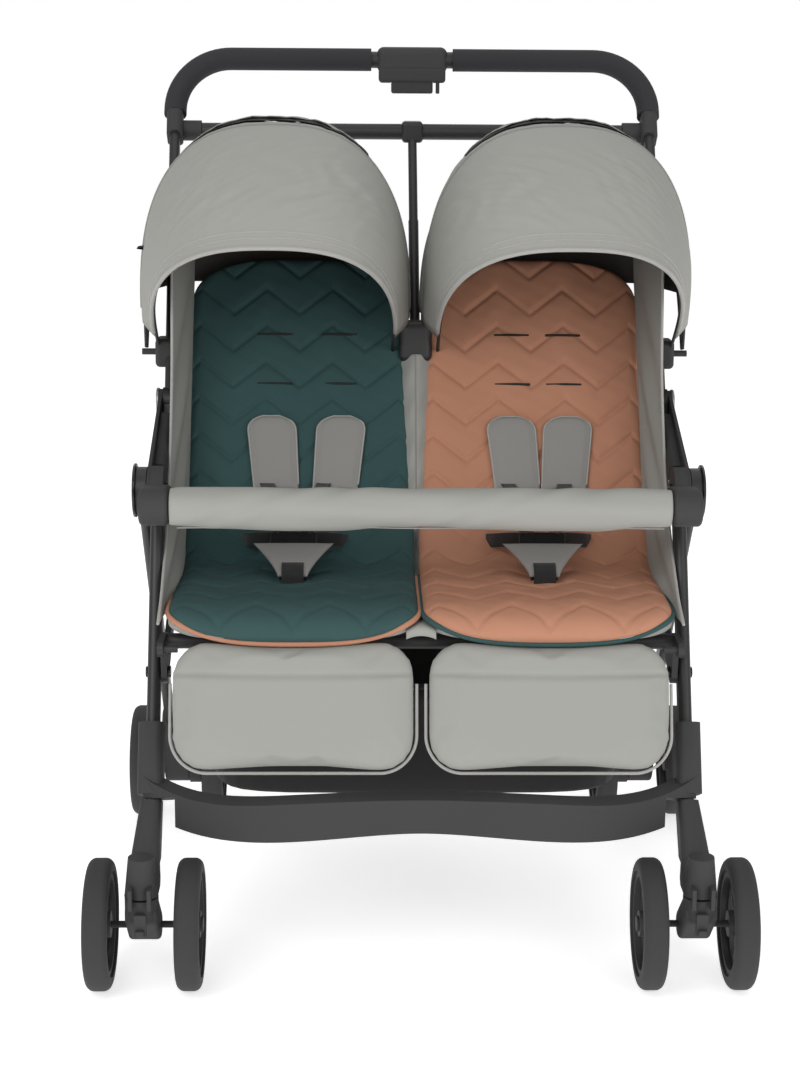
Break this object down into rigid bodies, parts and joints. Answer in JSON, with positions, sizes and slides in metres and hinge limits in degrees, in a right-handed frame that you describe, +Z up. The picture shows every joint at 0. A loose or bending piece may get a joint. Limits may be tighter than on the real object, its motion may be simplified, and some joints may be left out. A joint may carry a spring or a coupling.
{
  "type": "twin side-by-side folding stroller",
  "caption": "Folding two-seat side-by-side stroller with twin canopies, quilted seats, padded bumper bar, swivel front casters and a parallelogram fold.",
  "frame": {"origin": "on the ground, at the middle of the stroller's bounding box", "axes": "+Z up, -Y is the stroller's front, X across; left is the side at -X, as seen from the front"},
  "size_m": [0.762, 0.79, 1.036],
  "materials": {
    "frame": "dark grey powder coat",
    "pin": "zinc plated steel",
    "plastic": "fine grained black-grey moulding",
    "gloss_black": "smooth black moulding",
    "foam": "closed-cell foam grip",
    "tyre": "solid foam tyre with shallow ribs",
    "grey_fabric": "melange grey woven polyester",
    "pad_fabric": "mid grey woven polyester, padded",
    "black_fabric": "black woven polyester",
    "teal_fabric": "dark teal quilted polyester",
    "terracotta_fabric": "terracotta quilted polyester"
  },
  "bodies": {
    "root": {"front_legs": "frame", "hub_housings": "plastic", "front_feet": "plastic", "front_crossbar": "plastic", "pivot_pins": "pin", "basket": "black_fabric"},
    "armrests": {"armrest_left": "plastic", "armrest_right": "plastic", "knob_caps": "pin"},
    "handle_frame": {"handle_tubes": "frame", "handle_collars": "plastic", "top_cross_tube": "frame", "centre_post": "frame", "handle_bar": "frame", "handle_grips": "foam", "handle_box": "plastic", "canopy_clamps": "plastic", "canopy_rears": "grey_fabric"},
    "seat_frame": {"seat_frame": "frame", "seat_left": "teal_fabric", "seat_right": "terracotta_fabric"},
    "rear_frame": {"rear_legs": "frame", "rear_housings": "plastic", "rear_cross_tube": "frame"},
    "fold_lever": {"fold_lever": "plastic"},
    "fold_lock": {"fold_lock": "plastic"},
    "bumper_bar": {"bumper_tube": "frame", "bumper_elbows": "plastic", "bumper_cover": "grey_fabric"},
    "brake_pedal": {"brake_pedal": "plastic"},
    "backrest_left": {"backrest_left": "teal_fabric", "harness_left": "pad_fabric"},
    "canopy_mid_left": {"canopy_mid_left": "grey_fabric"},
    "canopy_front_left": {"canopy_front_left": "grey_fabric"},
    "leg_rest_left": {"leg_rest_left": "grey_fabric"},
    "buckle_left": {"buckle_left": "gloss_black"},
    "buckle_button_left": {"buckle_button_left": "gloss_black"},
    "caster_left": {"caster_fork_left": "plastic"},
    "swivel_lock_left": {"swivel_lock_left": "plastic"},
    "front_wheels_left": {"front_tyres_left": "tyre", "front_rims_left": "plastic"},
    "rear_wheels_left": {"rear_tyres_left": "tyre", "rear_rims_left": "plastic"},
    "brake_pin_left": {"brake_pin_left": "pin"},
    "bumper_button_left": {"bumper_button_left": "plastic"},
    "backrest_right": {"backrest_right": "terracotta_fabric", "harness_right": "pad_fabric"},
    "canopy_mid_right": {"canopy_mid_right": "grey_fabric"},
    "canopy_front_right": {"canopy_front_right": "grey_fabric"},
    "leg_rest_right": {"leg_rest_right": "grey_fabric"},
    "buckle_right": {"buckle_right": "gloss_black"},
    "buckle_button_right": {"buckle_button_right": "gloss_black"},
    "caster_right": {"caster_fork_right": "plastic"},
    "swivel_lock_right": {"swivel_lock_right": "plastic"},
    "front_wheels_right": {"front_tyres_right": "tyre", "front_rims_right": "plastic"},
    "rear_wheels_right": {"rear_tyres_right": "tyre", "rear_rims_right": "plastic"},
    "brake_pin_right": {"brake_pin_right": "pin"},
    "bumper_button_right": {"bumper_button_right": "plastic"}
  },
  "joints": [
    {"name": "frame_fold", "type": "hinge", "parent": "root", "child": "armrests", "pos_m": [0, -0.115, 0.535], "axis": [-1, 0, 0], "range_deg": [0, 66]},
    {"name": "handle_fold", "type": "hinge", "parent": "armrests", "child": "handle_frame", "pos_m": [0, 0.06, 0.61], "axis": [-1, 0, 0], "range_deg": [-66, 0]},
    {"name": "seat_fold", "type": "hinge", "parent": "root", "child": "seat_frame", "pos_m": [0, -0.20665, 0.34004], "axis": [-1, 0, 0], "range_deg": [0, 66]},
    {"name": "rear_fold", "type": "hinge", "parent": "root", "child": "rear_frame", "pos_m": [0, -0.115, 0.535], "axis": [-1, 0, 0], "range_deg": [0, 34.65], "deforming": ["basket"]},
    {"name": "fold_lever_squeeze", "type": "slide", "parent": "handle_frame", "child": "fold_lever", "axis": [0, 0, 1], "range_m": [0, 0.006], "stiffness_N_per_m": 900},
    {"name": "fold_lock_slide", "type": "slide", "parent": "handle_frame", "child": "fold_lock", "axis": [1, 0, 0], "range_m": [0, 0.004]},
    {"name": "bumper_release", "type": "slide", "parent": "root", "child": "bumper_bar", "axis": [0, -1, 0], "range_m": [0, 0.03]},
    {"name": "brake_press", "type": "hinge", "parent": "rear_frame", "child": "brake_pedal", "pos_m": [0, 0.135, 0.14], "axis": [-1, 0, 0], "range_deg": [0, 20]},
    {"name": "recline_left", "type": "hinge", "parent": "handle_frame", "child": "backrest_left", "pos_m": [-0.157, -0.03165, 0.41504], "axis": [1, 0, 0], "range_deg": [-35, 0]},
    {"name": "canopy_left", "type": "hinge", "parent": "handle_frame", "child": "canopy_mid_left", "pos_m": [-0.1755, 0.105, 0.665], "axis": [1, 0, 0], "range_deg": [-26, 0]},
    {"name": "canopy_front_left", "type": "hinge", "parent": "canopy_mid_left", "child": "canopy_front_left", "pos_m": [-0.1755, 0.105, 0.665], "axis": [1, 0, 0], "range_deg": [-26, 0]},
    {"name": "leg_rest_left", "type": "hinge", "parent": "seat_frame", "child": "leg_rest_left", "pos_m": [-0.145, -0.258, 0.383], "axis": [1, 0, 0], "range_deg": [-70, 0]},
    {"name": "crotch_left", "type": "hinge", "parent": "seat_frame", "child": "buckle_left", "pos_m": [-0.149, -0.134, 0.434], "axis": [1, 0, 0], "range_deg": [0, 135]},
    {"name": "buckle_press_left", "type": "slide", "parent": "buckle_left", "child": "buckle_button_left", "axis": [0, 0.5736, -0.8192], "range_m": [0, 0.0025], "stiffness_N_per_m": 600},
    {"name": "caster_swivel_left", "type": "hinge", "parent": "root", "child": "caster_left", "pos_m": [-0.313, -0.355, 0.12], "axis": [0, 0, 1], "continuous": true},
    {"name": "swivel_lock_lift_left", "type": "slide", "parent": "caster_left", "child": "swivel_lock_left", "axis": [0, 0, 1], "range_m": [0, 0.009]},
    {"name": "front_wheel_spin_left", "type": "hinge", "parent": "caster_left", "child": "front_wheels_left", "pos_m": [-0.313, -0.32, 0.075], "axis": [1, 0, 0], "continuous": true},
    {"name": "rear_wheel_spin_left", "type": "hinge", "parent": "rear_frame", "child": "rear_wheels_left", "pos_m": [-0.317, 0.23, 0.075], "axis": [1, 0, 0], "continuous": true},
    {"name": "brake_pin_left", "type": "slide", "parent": "rear_frame", "child": "brake_pin_left", "axis": [1, 0, 0], "range_m": [0, 0.008]},
    {"name": "bumper_button_press_left", "type": "slide", "parent": "bumper_bar", "child": "bumper_button_left", "axis": [1, 0, 0], "range_m": [0, 0.003], "stiffness_N_per_m": 800},
    {"name": "recline_right", "type": "hinge", "parent": "handle_frame", "child": "backrest_right", "pos_m": [0.157, -0.03165, 0.41504], "axis": [1, 0, 0], "range_deg": [-35, 0]},
    {"name": "canopy_right", "type": "hinge", "parent": "handle_frame", "child": "canopy_mid_right", "pos_m": [0.1755, 0.105, 0.665], "axis": [1, 0, 0], "range_deg": [-26, 0]},
    {"name": "canopy_front_right", "type": "hinge", "parent": "canopy_mid_right", "child": "canopy_front_right", "pos_m": [0.1755, 0.105, 0.665], "axis": [1, 0, 0], "range_deg": [-26, 0]},
    {"name": "leg_rest_right", "type": "hinge", "parent": "seat_frame", "child": "leg_rest_right", "pos_m": [0.145, -0.258, 0.383], "axis": [1, 0, 0], "range_deg": [-70, 0]},
    {"name": "crotch_right", "type": "hinge", "parent": "seat_frame", "child": "buckle_right", "pos_m": [0.149, -0.134, 0.434], "axis": [1, 0, 0], "range_deg": [0, 135]},
    {"name": "buckle_press_right", "type": "slide", "parent": "buckle_right", "child": "buckle_button_right", "axis": [0, 0.5736, -0.8192], "range_m": [0, 0.0025], "stiffness_N_per_m": 600},
    {"name": "caster_swivel_right", "type": "hinge", "parent": "root", "child": "caster_right", "pos_m": [0.313, -0.355, 0.12], "axis": [0, 0, 1], "continuous": true},
    {"name": "swivel_lock_lift_right", "type": "slide", "parent": "caster_right", "child": "swivel_lock_right", "axis": [0, 0, 1], "range_m": [0, 0.009]},
    {"name": "front_wheel_spin_right", "type": "hinge", "parent": "caster_right", "child": "front_wheels_right", "pos_m": [0.313, -0.32, 0.075], "axis": [1, 0, 0], "continuous": true},
    {"name": "rear_wheel_spin_right", "type": "hinge", "parent": "rear_frame", "child": "rear_wheels_right", "pos_m": [0.317, 0.23, 0.075], "axis": [1, 0, 0], "continuous": true},
    {"name": "brake_pin_right", "type": "slide", "parent": "rear_frame", "child": "brake_pin_right", "axis": [-1, 0, 0], "range_m": [0, 0.008]},
    {"name": "bumper_button_press_right", "type": "slide", "parent": "bumper_bar", "child": "bumper_button_right", "axis": [-1, 0, 0], "range_m": [0, 0.003], "stiffness_N_per_m": 800}
  ],
  "couplings": [
    {"joint": "handle_fold", "follows": "frame_fold", "ratio": -1},
    {"joint": "seat_fold", "follows": "frame_fold", "ratio": 1},
    {"joint": "rear_fold", "follows": "frame_fold", "ratio": 0.525},
    {"joint": "crotch_left", "follows": "frame_fold", "ratio": 2.0455},
    {"joint": "canopy_front_left", "follows": "canopy_left", "ratio": 1},
    {"joint": "brake_pin_left", "follows": "brake_press", "m_per_rad": 0.0229},
    {"joint": "crotch_right", "follows": "frame_fold", "ratio": 2.0455},
    {"joint": "canopy_front_right", "follows": "canopy_right", "ratio": 1},
    {"joint": "brake_pin_right", "follows": "brake_press", "m_per_rad": 0.0229}
  ]
}
